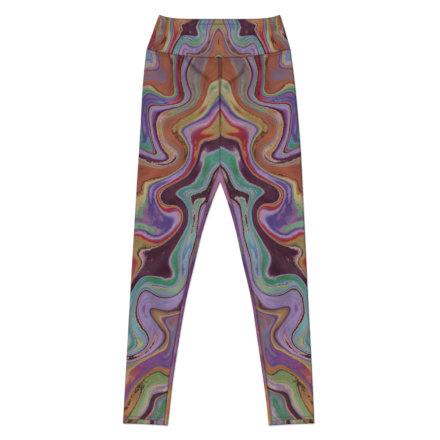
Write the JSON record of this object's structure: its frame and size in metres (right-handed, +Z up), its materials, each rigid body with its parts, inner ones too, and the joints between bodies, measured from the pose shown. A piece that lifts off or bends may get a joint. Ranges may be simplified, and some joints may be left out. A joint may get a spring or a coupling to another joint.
{
  "type": "pair of leggings laid flat",
  "caption": "Full-length leggings with a wide doubled waistband and a crotch gusset, laid flat on a surface with the front up.",
  "frame": {"origin": "middle of the footprint of the laid garment, on the surface that it lies on", "axes": "+X across the garment towards the wearer's left leg, +Y along it from the ankles towards the waist, +Z up from the surface out of the garment's front"},
  "size_m": [0.4503, 0.966, 0.005],
  "materials": {
    "waistband_knit": "smooth stretch knit, matte with a slight sheen, printed on its outer side with a marbled design",
    "leg_knit": "smooth stretch knit, matte with a slight sheen, printed on its outer side with a marbled design",
    "gusset_knit": "smooth stretch knit, matte, mauve",
    "sewing_thread": "texturised polyester thread"
  },
  "bodies": {
    "root": {"waistband_front": "waistband_knit", "waistband_back": "waistband_knit", "leg_left": "leg_knit", "leg_right": "leg_knit", "gusset": "gusset_knit"}
  },
  "joints": []
}
